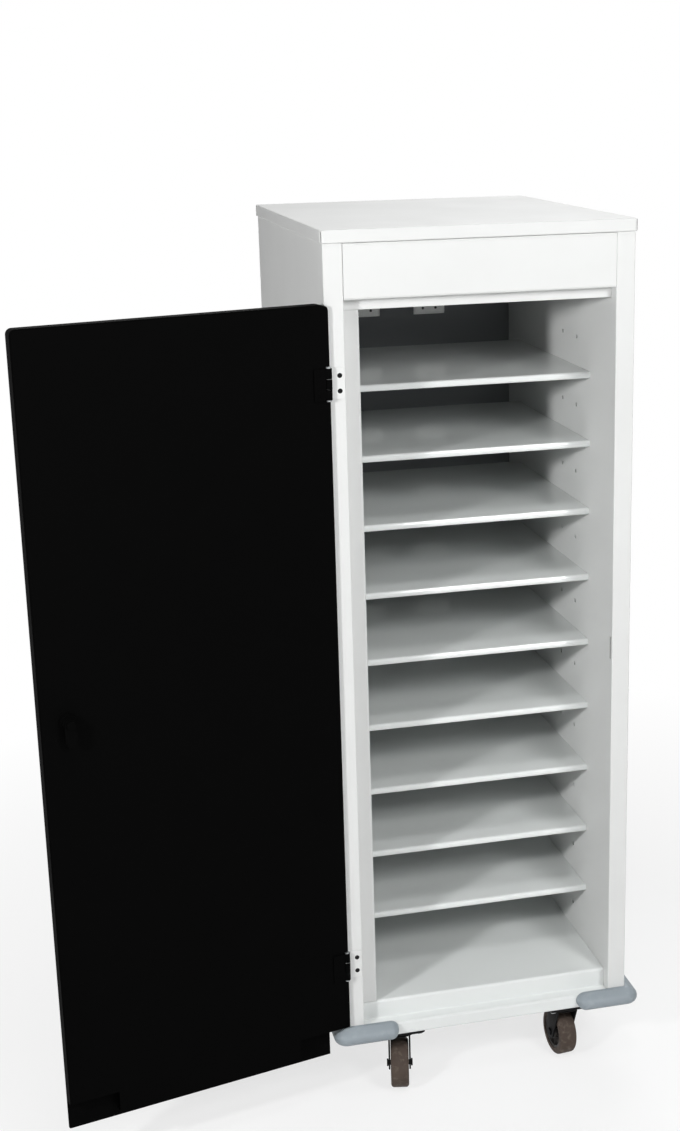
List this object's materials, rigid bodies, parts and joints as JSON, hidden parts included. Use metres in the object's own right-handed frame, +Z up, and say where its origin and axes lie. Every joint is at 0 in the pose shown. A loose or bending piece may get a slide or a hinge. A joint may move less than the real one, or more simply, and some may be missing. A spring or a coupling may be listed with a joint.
{
  "type": "laptop charging cart",
  "caption": "Tall white steel charging cart on swivel casters with open shelves for notebook computers, outlets at the back and a black full-height hinged door.",
  "frame": {"origin": "on the floor under the middle of the cabinet's footprint", "axes": "+X to the cart's right seen from the front, +Y from the front to the back, +Z up"},
  "size_m": [0.8948, 0.6724, 1.3263],
  "materials": {
    "white_paint": "satin white powder coat on sheet steel",
    "black_paint": "satin black powder coat on sheet steel",
    "dark_paint": "dark grey powder coat on sheet steel",
    "black_steel": "black coated steel",
    "zinc_steel": "bright zinc-plated steel",
    "outlet_plastic": "light grey moulded plastic",
    "black_plastic": "black moulded plastic",
    "bumper_plastic": "blue-grey moulded plastic",
    "caster_tyre": "brown-grey solid tyre",
    "hub_plastic": "dark moulded plastic"
  },
  "bodies": {
    "cabinet": {"left_side_panel": "white_paint", "right_side_panel": "white_paint", "back_panel": "white_paint", "rear_liner": "dark_paint", "floor_tray": "white_paint", "base_plate": "white_paint", "ceiling_panel": "white_paint", "lid": "white_paint", "header_fascia": "white_paint", "top_rail": "white_paint", "hinge_post": "white_paint", "shelf_1": "white_paint", "shelf_2": "white_paint", "shelf_3": "white_paint", "shelf_4": "white_paint", "shelf_5": "white_paint", "shelf_6": "white_paint", "shelf_7": "white_paint", "shelf_8": "white_paint", "shelf_9": "white_paint", "power_strip_left": "outlet_plastic", "power_strip_right": "outlet_plastic", "power_unit": "dark_paint", "mains_entry": "black_plastic", "hinge_upper_frame_leaf": "white_paint", "hinge_upper_pin": "zinc_steel", "hinge_lower_frame_leaf": "white_paint", "hinge_lower_pin": "zinc_steel", "bumper_front_left": "bumper_plastic", "bumper_front_right": "bumper_plastic", "bumper_rear_left": "bumper_plastic", "bumper_rear_right": "bumper_plastic", "caster_front_left_top": "black_steel", "caster_front_right_top": "black_steel", "caster_rear_left_top": "black_steel", "caster_rear_right_top": "black_steel"},
    "door": {"door_skin": "black_paint", "door_liner": "black_paint", "hinge_upper_door_leaf": "black_paint", "hinge_lower_door_leaf": "black_paint", "lock_housing": "black_steel"},
    "lock": {"lock_lever": "black_steel", "lock_cam": "black_steel"},
    "switch": {"power_switch": "black_plastic"},
    "swivel_front_left": {"caster_front_left_fork": "black_steel", "caster_front_left_axle": "zinc_steel"},
    "wheel_front_left": {"caster_front_left_tyre": "caster_tyre", "caster_front_left_hub": "hub_plastic"},
    "swivel_front_right": {"caster_front_right_fork": "black_steel", "caster_front_right_axle": "zinc_steel"},
    "wheel_front_right": {"caster_front_right_tyre": "caster_tyre", "caster_front_right_hub": "hub_plastic"},
    "swivel_rear_left": {"caster_rear_left_fork": "black_steel", "caster_rear_left_axle": "zinc_steel"},
    "wheel_rear_left": {"caster_rear_left_tyre": "caster_tyre", "caster_rear_left_hub": "hub_plastic"},
    "swivel_rear_right": {"caster_rear_right_fork": "black_steel", "caster_rear_right_axle": "zinc_steel"},
    "wheel_rear_right": {"caster_rear_right_tyre": "caster_tyre", "caster_rear_right_hub": "hub_plastic"}
  },
  "joints": [
    {"name": "door_hinge", "type": "hinge", "parent": "cabinet", "child": "door", "pos_m": [-0.222, -0.2752, 0.664], "axis": [0, 0, 1], "range_deg": [-7, 167]},
    {"name": "lock_turn", "type": "hinge", "parent": "door", "child": "lock", "pos_m": [-0.60882, -0.36451, 0.7], "axis": [-0.225, 0.9744, 0], "range_deg": [0, 90]},
    {"name": "switch_rock", "type": "hinge", "parent": "cabinet", "child": "switch", "pos_m": [0.137, 0.2698, 1.27015], "axis": [1, 0, 0], "range_deg": [0, 20]},
    {"name": "swivel_front_left_turn", "type": "hinge", "parent": "cabinet", "child": "swivel_front_left", "pos_m": [-0.135, -0.234, 0.09], "axis": [0, 0, 1], "continuous": true},
    {"name": "wheel_front_left_spin", "type": "hinge", "parent": "swivel_front_left", "child": "wheel_front_left", "pos_m": [-0.1377, -0.24569, 0.0375], "axis": [0.9744, -0.225, 0], "continuous": true},
    {"name": "swivel_front_right_turn", "type": "hinge", "parent": "cabinet", "child": "swivel_front_right", "pos_m": [0.135, -0.234, 0.09], "axis": [0, 0, 1], "continuous": true},
    {"name": "wheel_front_right_spin", "type": "hinge", "parent": "swivel_front_right", "child": "wheel_front_right", "pos_m": [0.13375, -0.22207, 0.0375], "axis": [-0.9945, -0.1045, 0], "continuous": true},
    {"name": "swivel_rear_left_turn", "type": "hinge", "parent": "cabinet", "child": "swivel_rear_left", "pos_m": [-0.135, 0.234, 0.09], "axis": [0, 0, 1], "continuous": true},
    {"name": "wheel_rear_left_spin", "type": "hinge", "parent": "swivel_rear_left", "child": "wheel_rear_left", "pos_m": [-0.13051, 0.24513, 0.0375], "axis": [-0.9272, 0.3746, 0], "continuous": true},
    {"name": "swivel_rear_right_turn", "type": "hinge", "parent": "cabinet", "child": "swivel_rear_right", "pos_m": [0.135, 0.234, 0.09], "axis": [0, 0, 1], "continuous": true},
    {"name": "wheel_rear_right_spin", "type": "hinge", "parent": "swivel_rear_right", "child": "wheel_rear_right", "pos_m": [0.1323, 0.24569, 0.0375], "axis": [-0.9744, -0.225, 0], "continuous": true}
  ]
}
